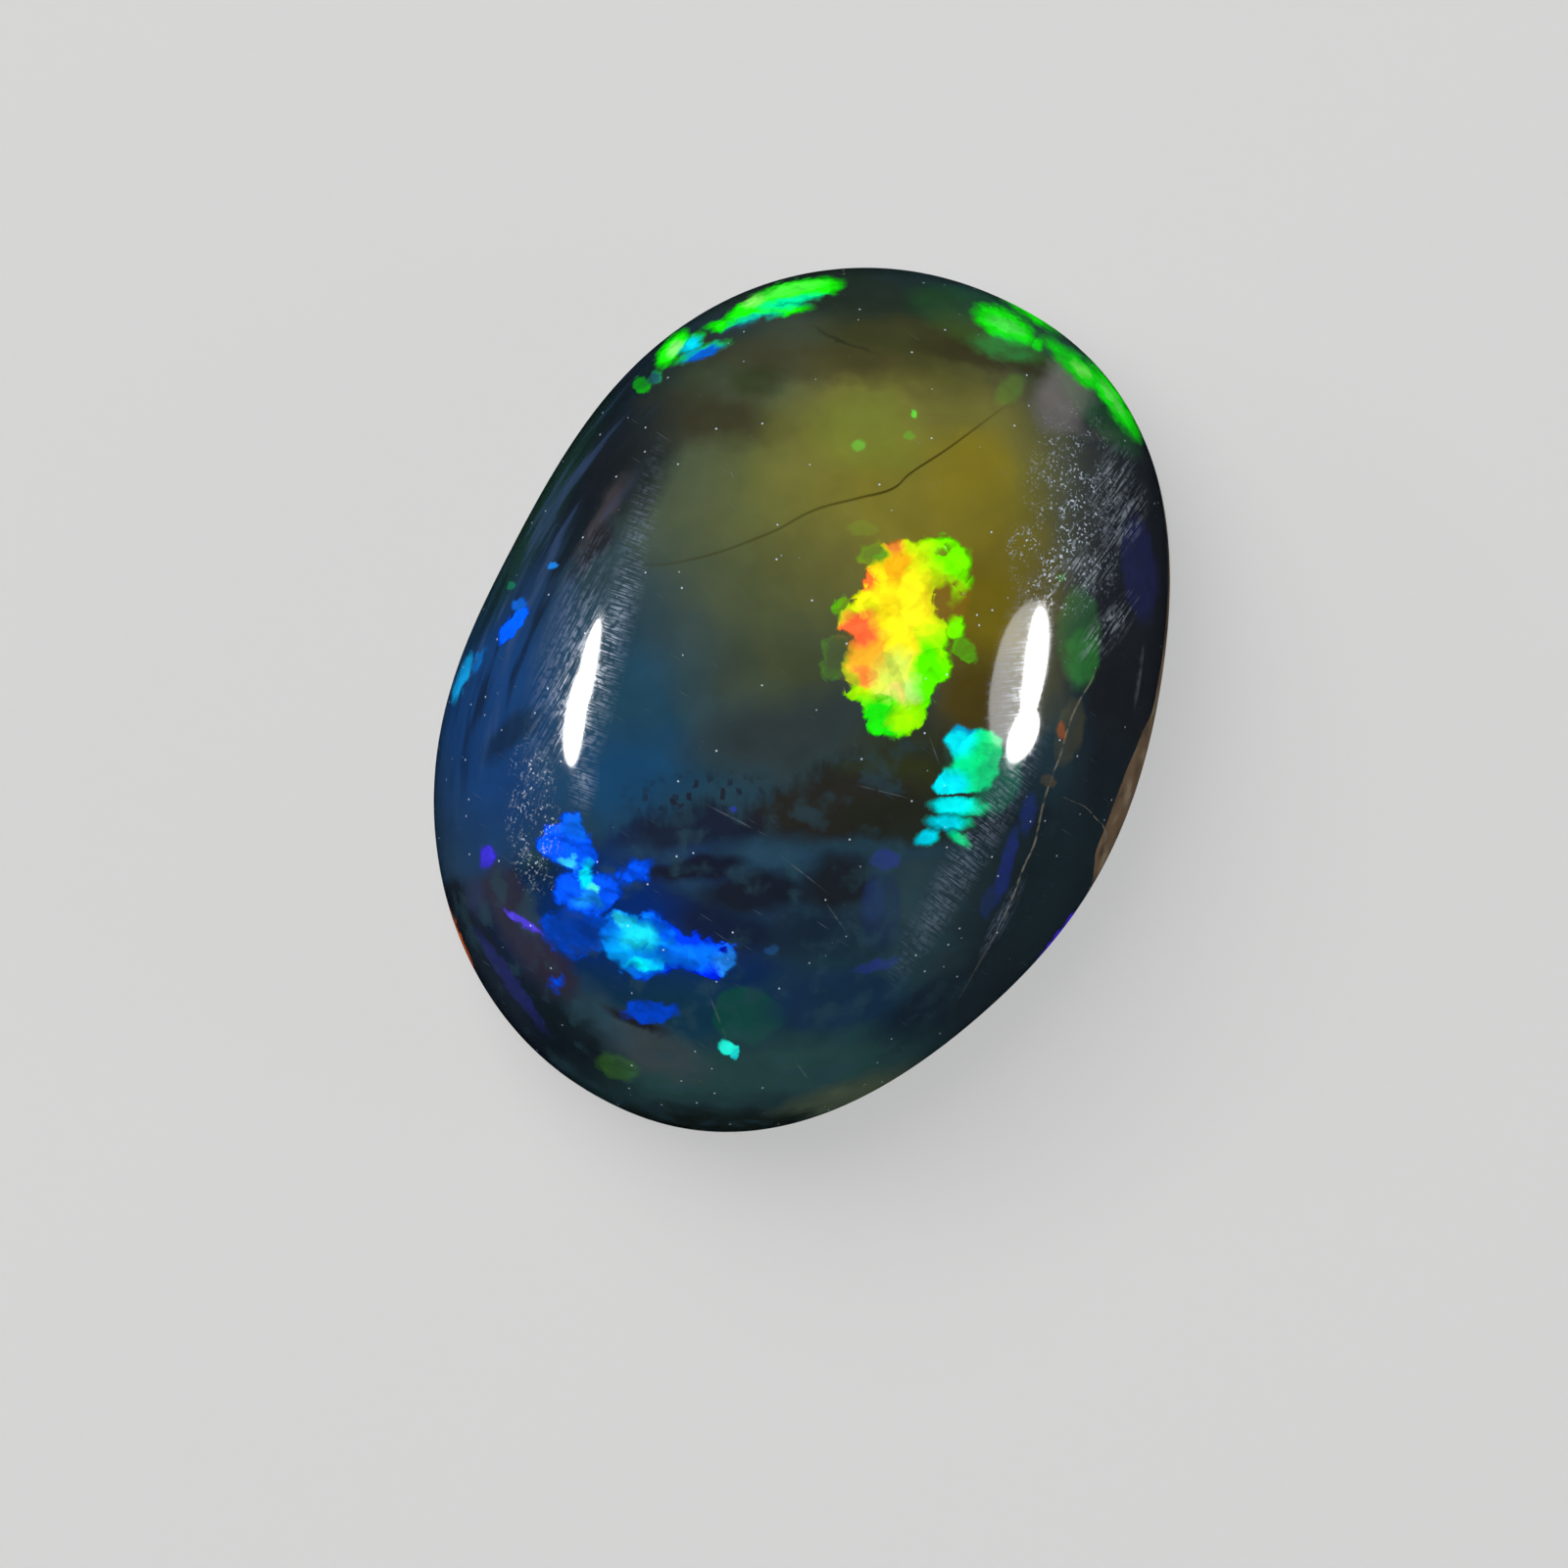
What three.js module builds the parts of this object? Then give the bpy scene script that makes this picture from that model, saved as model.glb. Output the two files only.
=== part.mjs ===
// A polished black opal cabochon, cut by hand as a slightly uneven oval: a flat back with a
// rounded lower edge, a girdle where the stone is widest, and a full dome above it.
// Millimetres, +Z up. The origin is the middle of the flat back, and the long way runs along Y.
import * as THREE from "three";

// Driving sizes
const length = 14.0;
const width = 10.5;
const height = 5.8;
const girdleHeight = 1.2; // where the stone is widest
const backShare = 0.89; // the flat back's outline as a share of the girdle's

// Roundness: 2 is an ellipse, and more is squarer
const outlineRoundness = 2.135;
const domeSideRoundness = 2.22; // how upright the dome leaves the girdle
const domeTopRoundness = 2.06; // how flat the dome is on top
const lowerEdgeRoundness = 2.1;

// Hand-cut unevenness of the outline, strongest at the girdle and gone at the top.
// Each wave goes round the stone this many times.
const outlineWaves = [
  { times: 3, cosine: 0.0094, sine: 0.0012 },
  { times: 5, cosine: 0.0102, sine: -0.0036 },
];

// The cutter leaned on one side of the dome, which is a little flatter there
const leanAngle = THREE.MathUtils.degToRad(-20);
const leanShare = 0.022;

// How finely the faces follow the curves
const stepsRound = 96;
const domeRings = 25;
const lowerEdgeRings = 6;

// Distance from the middle to the outline in one direction, seen from above.
// waveShare is 1 at the girdle and 0 at the top.
function outlineRadius(angle, waveShare) {
  const across = Math.abs(Math.cos(angle) / (width / 2)) ** outlineRoundness;
  const along = Math.abs(Math.sin(angle) / (length / 2)) ** outlineRoundness;
  const oval = (across + along) ** (-1 / outlineRoundness);
  let waves = 0;
  for (const { times, cosine, sine } of outlineWaves) {
    waves += cosine * Math.cos(times * angle) + sine * Math.sin(times * angle);
  }
  return oval * (1 + waveShare * waves);
}

// Half of the stone's upright section, from the middle of the back round to the top.
// x is the share of the girdle's radius, and y is the height.
function sectionPoints() {
  const points = [new THREE.Vector2(0, 0)];
  for (let i = 0; i < lowerEdgeRings; i++) {
    const turn = (i / lowerEdgeRings) * (Math.PI / 2);
    const reach = backShare + (1 - backShare) * Math.sin(turn) ** (2 / lowerEdgeRoundness);
    const rise = girdleHeight * (1 - Math.cos(turn) ** (2 / lowerEdgeRoundness));
    points.push(new THREE.Vector2(reach, rise));
  }
  for (let i = 0; i < domeRings; i++) {
    const turn = (i / domeRings) * (Math.PI / 2);
    const reach = Math.cos(turn) ** (2 / domeTopRoundness);
    const rise = (height - girdleHeight) * Math.sin(turn) ** (2 / domeSideRoundness);
    points.push(new THREE.Vector2(reach, girdleHeight + rise));
  }
  points.push(new THREE.Vector2(0, height));
  return points;
}

// The section is turned about Z with a radius of 1, and each corner is then moved out to the
// outline in its own direction.
function stoneGeometry() {
  const geometry = new THREE.LatheGeometry(sectionPoints(), stepsRound);
  geometry.rotateX(Math.PI / 2);
  const corners = geometry.getAttribute("position");
  const corner = new THREE.Vector3();
  for (let i = 0; i < corners.count; i++) {
    corner.fromBufferAttribute(corners, i);
    const angle = Math.atan2(corner.y, corner.x);
    const rise = Math.max(0, (corner.z - girdleHeight) / (height - girdleHeight));
    const facing = Math.max(0, Math.cos(angle - leanAngle)) ** 2;
    const lean = leanShare * facing * Math.sin(Math.PI * rise);
    const reach = outlineRadius(angle, 1 - rise) * (1 - lean);
    corners.setXYZ(i, corner.x * reach, corner.y * reach, corner.z);
  }
  fitToSize(geometry);
  geometry.computeVertexNormals();
  return geometry;
}

// The waves shift the oval a little, so it is brought back to its middle and its size.
function fitToSize(geometry) {
  geometry.computeBoundingBox();
  const middle = geometry.boundingBox.getCenter(new THREE.Vector3());
  const size = geometry.boundingBox.getSize(new THREE.Vector3());
  geometry.translate(-middle.x, -middle.y, 0);
  geometry.scale(width / size.x, length / size.y, 1);
}

const opalMaterial = new THREE.MeshStandardMaterial({
  color: new THREE.Color(0.085, 0.115, 0.12),
  roughness: 0.08,
  metalness: 0,
});

const stone = new THREE.Mesh(stoneGeometry(), opalMaterial);
stone.name = "opal_cabochon";

const cabochon = new THREE.Group();
cabochon.add(stone);

export default cabochon;
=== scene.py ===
# A polished black opal cabochon: a dark hand-cut dome with play of colour, resting on its flat back
import math
import bpy
from mathutils import Matrix, Vector
from mathutils.bvhtree import BVHTree


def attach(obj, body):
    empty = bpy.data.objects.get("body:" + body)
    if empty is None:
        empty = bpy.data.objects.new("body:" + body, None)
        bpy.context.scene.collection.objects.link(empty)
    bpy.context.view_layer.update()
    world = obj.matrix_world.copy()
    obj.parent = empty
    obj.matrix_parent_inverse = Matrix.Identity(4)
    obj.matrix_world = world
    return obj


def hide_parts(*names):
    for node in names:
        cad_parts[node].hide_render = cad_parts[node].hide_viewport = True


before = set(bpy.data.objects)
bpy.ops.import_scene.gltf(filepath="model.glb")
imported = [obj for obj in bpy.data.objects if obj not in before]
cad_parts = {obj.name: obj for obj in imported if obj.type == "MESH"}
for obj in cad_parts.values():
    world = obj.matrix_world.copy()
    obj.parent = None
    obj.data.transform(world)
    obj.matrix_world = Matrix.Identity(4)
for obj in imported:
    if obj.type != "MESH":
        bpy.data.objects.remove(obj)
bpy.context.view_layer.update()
print("frame loaded:", sorted(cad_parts))

mm = 0.001


# A Wire is one output of a node. Sums on it are written as formulas, and each step adds a Math node.
class Wire:
    def __init__(self, tree, socket=None):
        self.tree = tree
        self.socket = socket

    # Any node: its type, its settings, and the values or links of its sockets
    def node(self, kind, settings=None, values=None, output=0):
        made = self.tree.nodes.new(kind)
        for name, value in (settings or {}).items():
            if name == "stops":
                setStops(made.color_ramp.elements, value)
            elif name == "curve":
                setCurve(made.mapping, value)
            else:
                setattr(made, name, value)
        for key, value in (values or {}).items():
            if isinstance(value, Wire):
                self.tree.links.new(value.socket, made.inputs[key])
            else:
                made.inputs[key].default_value = value
        return Wire(self.tree, made.outputs[output])

    # A Math or Vector Math node with this wire as its first value
    def maths(self, operation, *others):
        return self.node("ShaderNodeMath", {"operation": operation}, dict(enumerate([self, *others])))

    def vector(self, operation, *others, output=0):
        values = dict(enumerate([self, *others]))
        return self.node("ShaderNodeVectorMath", {"operation": operation}, values, output)

    # A vector or a colour times a number
    def scaled(self, amount):
        return self.node("ShaderNodeVectorMath", {"operation": "SCALE"}, {0: self, "Scale": amount})

    # Another output of the same node
    def also(self, output):
        return Wire(self.tree, self.socket.node.outputs[output])

    # Noise at this place, from 0 to 1, by its size in mm
    def noise(self, size, detail=2.0):
        return self.node("ShaderNodeTexNoise", {}, {"Vector": self, "Scale": 1 / size, "Detail": detail})

    # The same drawn out into streaks that run along some degrees, by their length and width in mm
    def streaks(self, degrees, length, width, detail=2.0):
        values = {"Vector": self, "Rotation": (0, 0, math.radians(degrees))}
        values["Scale"] = (length, width, length * 3)
        return self.node("ShaderNodeMapping", {"vector_type": "TEXTURE"}, values).noise(1.0, detail)

    # The parts of a vector or of a colour
    def split(self):
        return [self.node("ShaderNodeSeparateXYZ", {}, {0: self}, output) for output in range(3)]

    # 0 where this value is low or less, top where it is high or more, and smooth between
    def between(self, low, high, top=1.0):
        values = {"Value": self, "From Min": low, "From Max": high, "To Max": top}
        return self.node("ShaderNodeMapRange", {"interpolation_type": "SMOOTHSTEP"}, values)

    # This value runs along a curve drawn through the points, whose heights lie between low and high
    def curve(self, points, low=0, high=1):
        first, last = points[0][0], points[-1][0]
        run = self
        if (first, last) != (0, 1):
            run = self.node("ShaderNodeMapRange", {}, {"Value": self, "From Min": first, "From Max": last})
        spots = [((x - first) / (last - first), (y - low) / (high - low)) for x, y in points]
        found = self.node("ShaderNodeFloatCurve", {"curve": spots}, {"Value": run})
        return found if (low, high) == (0, 1) else found * (high - low) + low


# The operators of a Wire, which may stand on either side of them
def addOperator(name, operation):
    def wireFirst(self, other):
        return self.maths(operation, other)

    def wireSecond(self, other):
        return self.node("ShaderNodeMath", {"operation": operation}, {0: other, 1: self})

    setattr(Wire, "__" + name + "__", wireFirst)
    setattr(Wire, "__r" + name + "__", wireSecond)


operators = {"add": "ADD", "sub": "SUBTRACT", "mul": "MULTIPLY", "truediv": "DIVIDE", "pow": "POWER"}
for name, operation in operators.items():
    addOperator(name, operation)


def setStops(elements, stops):
    while len(elements) < len(stops):
        elements.new(1)
    for element, (position, colour) in zip(elements, stops):
        element.position = position
        element.color = colour


def setCurve(mapping, points):
    curve = mapping.curves[0]
    while len(curve.points) < len(points):
        curve.points.new(0.5, 0.5)
    for point, place in zip(curve.points, points):
        point.location = place
    mapping.update()


# A colour by its screen values, from 0 to 255
def tone(red, green, blue):
    shares = [value / 255 for value in (red, green, blue)]
    return tuple(s / 12.92 if s < 0.04045 else ((s + 0.055) / 1.055) ** 2.4 for s in shares) + (1,)


# One colour laid over another where the mask is 1
def layOver(under, over, mask):
    return mask.node("ShaderNodeMix", {"data_type": "RGBA"}, {0: mask, 6: under, 7: over}, 2)


# Several screen colours laid over one another, each with its mask
def layAll(colour, layers):
    for shade, mask in layers:
        colour = layOver(colour, tone(*shade), mask)
    return colour


# The photograph's view: nearly straight down on the dome, with the stone's length turned.
# Places on the stone are given as the camera sees them, in mm right and up of its middle.
view = {
    "turn": 27,            # degrees that the photograph's up is round from the stone's +Y
    "lean": 8,             # degrees that the camera leans from straight above
    "leanToward": -45,     # the side that it leans to, in degrees round from right
    "middleHeight": 1.6,   # mm above the back, the middle that places are counted from
    "distance": 420,       # mm
    "frameWidth": 24.5,    # mm across the stone
    "middleInFrame": (0.38, 1.3),  # mm that the stone's middle is right and up of the frame's
}


def viewAxes():
    turn, lean, toward = (math.radians(view[name]) for name in ("turn", "lean", "leanToward"))
    right = Vector((math.cos(turn), math.sin(turn), 0))
    up = Vector((-math.sin(turn), math.cos(turn), 0))
    side = right * math.cos(toward) + up * math.sin(toward)
    back = Vector((0, 0, 1)) * math.cos(lean) + side * math.sin(lean)
    up = (up - back * up.dot(back)).normalized()
    return up.cross(back), up, back


seenRight, seenUp, seenBack = viewAxes()
seenMiddle = Vector((0, 0, view["middleHeight"])) * mm
farAbove = 30  # mm, clear of the stone
toView = Matrix((seenRight, seenUp, seenBack))
toPart = toView.transposed()

# The stone, sizes in mm
stone = {
    "Length": 14.0,
    "Width": 10.5,
    "Height": 5.8,
    "Girdle Height": 1.2,
    "Back Share": 0.89,
    "Outline Roundness": 2.135,
    "Dome Side Roundness": 2.22,
    "Dome Top Roundness": 2.06,
    "Lower Edge Roundness": 2.1,
    "Lean Share": 0.022,
    "Lean Angle": math.radians(-20),
    "Undulation Depth": 0.016,
    "Undulation Size": 2.6,
    "Seed": 3.0,
}
stoneWaves = [(3, 0.0094, 0.0012), (5, 0.0102, -0.0036)]  # times round, cosine share, sine share
stoneSteps = {"round": 288, "rings": 130}
backRun, lowerEdgeRun = 0.1, 0.14  # shares of the rings on the back and on the lower edge
mergeReach = 0.0005                # mm, which closes the seam and the poles
evenBelow, unevenAbove = 0.6, 2.0  # mm above the back


def growStone(material):
    group = bpy.data.node_groups.new("cabochonForm", "GeometryNodeTree")
    sizes = {}
    for name, value in stone.items():
        socket = group.interface.new_socket(name, in_out="INPUT", socket_type="NodeSocketFloat")
        sizes[name] = socket.identifier
    group.interface.new_socket("Geometry", in_out="OUTPUT", socket_type="NodeSocketGeometry")
    start = Wire(group)
    entry = group.nodes.new("NodeGroupInput")
    size = {name: Wire(group, entry.outputs[name]) for name in stone}

    def onward(kind, body, **values):
        return start.node("GeometryNode" + kind, {}, {0: body, **values})

    # A sheet of points: x goes once round the stone, and y from the middle of the back to the top
    sheet = start.node(
        "GeometryNodeMeshGrid", {},
        {"Vertices X": stoneSteps["round"] + 1, "Vertices Y": stoneSteps["rings"] + 1})
    across, along = start.node("GeometryNodeInputPosition").split()[:2]
    angle = (across + 0.5) * math.tau
    run = along + 0.5
    quarter = math.pi / 2

    def ramp(first, last):
        values = {"Value": run, "From Min": first, "From Max": last}
        return run.node("ShaderNodeMapRange", {}, values)

    def lift(value, roundness):
        return value.maths("MAXIMUM", 0) ** (2 / roundness)

    backReach = ramp(0, backRun)
    edgeTurn = ramp(backRun, backRun + lowerEdgeRun) * quarter
    domeTurn = ramp(backRun + lowerEdgeRun, 1) * quarter
    edgeOut = lift(edgeTurn.maths("SINE"), size["Lower Edge Roundness"])
    edgeUp = 1 - lift(edgeTurn.maths("COSINE"), size["Lower Edge Roundness"])
    domeIn = lift(domeTurn.maths("COSINE"), size["Dome Top Roundness"])
    domeUp = lift(domeTurn.maths("SINE"), size["Dome Side Roundness"])
    reach = (size["Back Share"] * backReach + (1 - size["Back Share"]) * edgeOut) * domeIn
    rise = size["Girdle Height"] * edgeUp + (size["Height"] - size["Girdle Height"]) * domeUp

    # The outline in this direction, with the cutter's waves, which fade towards the top
    cosine = angle.maths("COSINE")
    sine = angle.maths("SINE")
    sideways = (cosine * 2 / size["Width"]).maths("ABSOLUTE") ** size["Outline Roundness"]
    lengthways = (sine * 2 / size["Length"]).maths("ABSOLUTE") ** size["Outline Roundness"]
    oval = (sideways + lengthways) ** (-1 / size["Outline Roundness"])
    waves = 1
    for times, cosineShare, sineShare in stoneWaves:
        turned = angle * times
        wave = turned.maths("COSINE") * cosineShare + turned.maths("SINE") * sineShare
        waves = waves + wave * (1 - domeUp)
    facing = (angle - size["Lean Angle"]).maths("COSINE")
    facing = facing.maths("MAXIMUM", 0) ** 2
    swell = domeUp * math.pi
    lean = size["Lean Share"] * facing * swell.maths("SINE")
    distance = reach * oval * waves * (1 - lean)
    place = start.node("ShaderNodeCombineXYZ", {}, {0: distance * cosine, 1: distance * sine, 2: rise})
    body = onward("SetPosition", sheet, Position=place)

    # The waves shift the oval a little, so it is brought back to its middle and its size
    boxLow = start.node("GeometryNodeBoundBox", {}, {0: body}, 1)
    boxHigh = start.node("GeometryNodeBoundBox", {}, {0: body}, 2)
    lowX, lowY = boxLow.split()[:2]
    highX, highY = boxHigh.split()[:2]
    x, y, z = start.node("GeometryNodeInputPosition").split()
    fitted = start.node("ShaderNodeCombineXYZ", {}, {
        0: (x - (lowX + highX) / 2) * size["Width"] / (highX - lowX),
        1: (y - (lowY + highY) / 2) * size["Length"] / (highY - lowY),
        2: z})
    body = onward("SetPosition", body, Position=fitted)
    body = onward("MergeByDistance", body, Distance=mergeReach)

    # Hand polishing leaves the dome very slightly uneven, and the back stays flat
    unevenPlace = start.node("GeometryNodeInputPosition")
    uneven = start.node(
        "ShaderNodeTexNoise", {"noise_dimensions": "4D"},
        {"Vector": unevenPlace, "W": size["Seed"], "Scale": 1 / size["Undulation Size"], "Detail": 1.0})
    height = unevenPlace.split()[2]
    depth = (uneven - 0.5) * size["Undulation Depth"] * height.between(evenBelow, unevenAbove)
    offset = start.node("GeometryNodeInputNormal").scaled(depth)
    body = onward("SetPosition", body, Offset=offset)
    body = onward("Transform", body, Scale=(mm, mm, mm))
    body = onward("SetShadeSmooth", body)
    body = onward("RealizeInstances", body)
    body = onward("SetMaterial", body, Material=material)
    leaving = group.nodes.new("NodeGroupOutput")
    group.links.new(body.socket, leaving.inputs[0])

    grown = bpy.data.objects.new("opalCabochon", bpy.data.meshes.new("opalCabochon"))
    bpy.context.scene.collection.objects.link(grown)
    modifier = grown.modifiers.new("form", "NODES")
    modifier.node_group = group
    for name, value in stone.items():
        modifier[sizes[name]] = value
    graph = bpy.context.evaluated_depsgraph_get()
    mesh = bpy.data.meshes.new_from_object(grown.evaluated_get(graph))
    grown.modifiers.clear()
    grown.data = mesh
    mesh.name = "opalCabochon"
    return grown


opal = bpy.data.materials.new("blackOpal")
opal.use_nodes = True
cabochon = growStone(opal)
stoneTree = BVHTree.FromPolygons(
    [vertex.co.copy() for vertex in cabochon.data.vertices],
    [tuple(face.vertices) for face in cabochon.data.polygons])
print("stone grown:", len(cabochon.data.polygons), "faces")


# Where a place seen at this many mm right and up of the middle lies on the stone, and the way it faces
def onStone(right, up):
    spot = seenMiddle + (seenRight * right + seenUp * up) * mm
    hit, normal = stoneTree.ray_cast(spot + seenBack * farAbove * mm, -seenBack)[:2]
    if hit is None:
        hit, normal = stoneTree.find_nearest(spot)[:2]
    return hit, normal


# The same place in the view's own axes in mm, which the pattern is laid out in
def inView(right, up):
    return tuple(toView @ (onStone(right, up)[0] - seenMiddle) / mm)


# Every patch of the pattern is an oval: mm right and up of the middle, half width and half height in mm,
# degrees turned, and its colour. After these come what else the piece of the pattern needs.

# Clouds of body colour above the ragged border, from the first laid to the last; softness and strength
upperClouds = {
    "blueSide": (-4.91, -0.1, 1.15, 2.68, 0, (28, 66, 118), 0.5, 1),
    "leftDark": (-4.6, -0.49, 0.46, 0.18, 45, (24, 42, 66), 0.5, 0.8),
    "tealMiddle": (-2.0, -0.18, 1.84, 1.53, 0, (36, 72, 92), 0.5, 1),
    "tealLow": (-2.85, -1.18, 0.95, 0.66, 10, (28, 72, 108), 0.6, 1),
    "upperLeftDark": (-3.38, 3.95, 2.3, 0.92, 55, (25, 33, 42), 0.5, 1),
    "shoulderDark": (-1.8, 5.08, 1.25, 0.46, 33, (26, 42, 48), 0.6, 0.95),
    "greenGrey": (-1.85, 2.65, 1.07, 1.38, -15, (62, 78, 76), 0.6, 1),
    "greyMiddle": (-0.14, 0.97, 1.5, 1.6, 0, (72, 80, 56), 0.6, 1),
    "greyLow": (-0.32, -0.49, 1.3, 0.49, 8, (50, 60, 62), 0.6, 0.9),
    "olive": (-0.09, 3.57, 1.91, 1.68, 20, (98, 104, 58), 0.6, 1),
    "amber": (1.91, 3.26, 1.99, 1.91, 0, (128, 121, 46), 0.5, 1),
    "amberTop": (1.7, 4.66, 1.15, 0.43, -4, (118, 116, 56), 0.7, 0.7),
    "amberLow": (2.75, 1.35, 0.95, 1.45, 10, (121, 107, 28), 0.6, 1),
    "goldSpot": (2.36, 3.57, 0.49, 0.4, 30, (138, 124, 36), 0.7, 0.8),
    "limeSpot": (0.91, 4.18, 0.61, 0.46, 0, (126, 136, 52), 0.7, 0.7),
    "topOlive": (1.68, 5.56, 1.84, 0.61, -5, (62, 64, 34), 0.6, 0.9),
    "topEdge": (0.6, 6.36, 2.3, 0.4, -3, (38, 50, 40), 0.5, 0.9),
    "brownSpot": (-1.39, 4.41, 0.78, 0.34, -5, (54, 49, 34), 0.8, 0.8),
    "brownArc": (0.14, 5.18, 1.05, 0.21, -8, (68, 62, 38), 0.8, 0.6),
    "leftShade": (-2.85, 3.6, 0.46, 1.0, -32, (32, 36, 40), 0.6, 0.8),
    "greenSpot": (-0.81, 4.98, 0.31, 0.21, 0, (52, 60, 34), 0.6, 0.7),
    "topCrack": (0.5, 5.5, 0.36, 0.022, -29, (44, 44, 32), 0.9, 0.6),
    "brownShade": (2.9, 5.28, 0.95, 0.15, -4, (58, 54, 34), 0.6, 0.7),
    "mauveTop": (3.97, 4.72, 0.46, 0.52, -8, (116, 112, 108), 0.3, 0.9),
    "mauveTail": (4.28, 4.25, 0.52, 0.15, -22, (110, 108, 106), 0.4, 0.9),
    "mauveShade": (4.72, 4.62, 0.26, 0.52, -30, (40, 50, 50), 0.5, 0.8),
    "mauveLeft": (-3.2, 2.9, 0.67, 0.15, 60, (66, 62, 66), 0.5, 0.8),
    "darkLeft": (-3.29, 2.35, 0.46, 0.12, 62, (38, 34, 38), 0.5, 0.8),
    "rightGrey": (4.5, 2.75, 0.64, 1.2, 0, (78, 82, 76), 0.6, 0.95),
    "sunShadow": (2.52, -0.03, 0.55, 0.74, -8, (84, 70, 22), 0.6, 0.9),
    "sunShadowLow": (1.68, -0.95, 0.8, 0.52, 0, (56, 58, 32), 0.6, 0.8),
}

# The same below the border, where the stone is darker and clearer, with painted shade on the bottom wall and
# a painted highlight tail among them
lowerClouds = {
    "deepOlive": (1.4, -1.21, 1.01, 0.55, 0, (56, 61, 33), 0.6, 0.9),
    "navyUnder": (-2.55, -2.3, 0.95, 0.55, -10, (31, 50, 84), 0.6, 0.8),
    "navyLow": (-1.85, -3.47, 2.3, 1.01, 0, (26, 42, 78), 0.6, 0.9),
    "tealField": (1.22, -3.55, 2.22, 1.23, 0, (36, 60, 76), 0.6, 0.9),
    "greenBase": (2.52, -3.4, 0.89, 1.38, -20, (46, 62, 60), 0.6, 0.8),
    # painted reflection: a lighter veil where the right highlight's tail fades
    "highlightTailSheen": (1.75, -3.35, 0.83, 0.95, -20, (56, 82, 90), 0.7, 0.8),
    "blueHalo": (-3.5, -3.24, 0.95, 1.01, 0, (12, 56, 116), 0.6, 0.8),
    "blueHaloLow": (-2.0, -4.24, 1.45, 0.46, -8, (14, 50, 112), 0.6, 0.7),
    "blueGlow": (-3.0, -3.35, 1.25, 0.55, -24, (8, 46, 124), 0.7, 0.7),
    "wispField": (-0.44, -2.38, 0.86, 0.27, 2, (44, 76, 98), 0.5, 1),
    "wispSpike": (-0.5, -2.06, 0.09, 0.2, 0, (40, 70, 92), 0.8, 0.8),
    "wispRight": (1.1, -2.28, 1.3, 0.14, -3, (42, 70, 84), 0.6, 0.9),
    "wispLeft": (-2.15, -2.22, 0.7, 0.24, 8, (36, 64, 96), 0.6, 0.8),
    "wispArm": (-1.54, -2.98, 0.67, 0.15, -20, (36, 64, 92), 0.6, 0.9),
    "wispKnee": (-1.24, -3.3, 0.26, 0.11, -22, (34, 60, 84), 0.6, 0.9),
    "wispDrop": (-0.22, -2.8, 0.13, 0.26, 10, (40, 72, 90), 0.5, 0.9),
    "darkBar": (-1.75, -1.93, 1.07, 0.28, 8, (30, 38, 56), 0.35, 0.9),
    "darkBrown": (0.45, -1.63, 1.35, 0.52, 4, (44, 43, 38), 0.22, 1),
    "darkOlive": (1.45, -1.88, 0.8, 0.31, -8, (40, 44, 34), 0.4, 0.9),
    "holeLeft": (-1.75, -2.62, 0.77, 0.17, 6, (27, 33, 50), 0.28, 1),
    "holeMiddle": (-0.8, -2.98, 0.83, 0.29, 6, (28, 35, 48), 0.3, 1),
    "holeRight": (0.46, -2.84, 0.49, 0.43, 20, (32, 38, 44), 0.3, 1),
    "holeLow": (-1.3, -3.52, 0.7, 0.26, -14, (24, 34, 58), 0.4, 0.8),
    "darkLow": (0.45, -3.7, 0.95, 0.34, 0, (28, 42, 58), 0.5, 0.7),
    "violetSmear": (1.11, -3.24, 0.23, 0.46, 0, (34, 52, 96), 0.6, 0.4),
    "lowTeal": (-2.0, -4.93, 1.68, 0.64, -5, (22, 60, 84), 0.6, 1),
    "greenDim": (-0.97, -4.86, 0.53, 0.43, 0, (24, 86, 72), 0.07, 0.8),
    "greenNotch": (-0.27, -4.93, 0.1, 0.32, -16, (25, 38, 46), 0.4, 0.8),
    "blueGreenLow": (0.6, -4.85, 1.15, 0.8, 10, (34, 68, 80), 0.6, 0.9),
    "navyDiagonal": (1.67, -5.0, 1.45, 0.31, 38, (24, 34, 56), 0.5, 0.75),
    "violetLow": (0.45, -4.66, 0.77, 0.37, 8, (28, 46, 92), 0.6, 0.45),
    "bottomArc": (-0.62, -5.78, 2.91, 0.52, 4, (50, 84, 84), 0.5, 1),
    "bottomOlive": (0.9, -6.1, 1.3, 0.2, 16, (92, 106, 84), 0.6, 0.9),
    # painted shade: the steep bottom wall darkened
    "bottomWallShade": (-1.39, -6.6, 2.91, 0.22, -3, (28, 38, 35), 0.5, 0.9),
    "greyMauve": (-2.65, -5.35, 1.01, 0.34, -22, (70, 82, 86), 0.4, 0.9),
    "lipTeal": (-3.42, -4.92, 0.61, 0.34, -44, (54, 82, 96), 0.6, 0.9),
    "brownLip": (-2.74, -4.97, 0.46, 0.08, -22, (34, 32, 36), 0.5, 0.9),
    "lowLeftDark": (-3.68, -5.16, 0.4, 1.07, 40, (22, 32, 38), 0.6, 0.9),
    "pitDark": (-4.22, -1.85, 0.55, 1.05, 0, (22, 46, 52), 0.6, 0.95),
    "leftPale": (-5.2, -2.7, 0.18, 0.61, 12, (54, 66, 96), 0.5, 0.8),
    "purpleBand": (-4.62, -3.2, 0.3, 1.32, 24, (52, 52, 68), 0.3, 0.95),
    "redBrownTip": (-3.93, -4.16, 0.21, 0.46, 34, (52, 46, 62), 0.4, 0.9),
    "lowLeftRim": (-4.91, -4.16, 0.21, 0.92, 30, (34, 44, 56), 0.5, 0.9),
}

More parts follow.
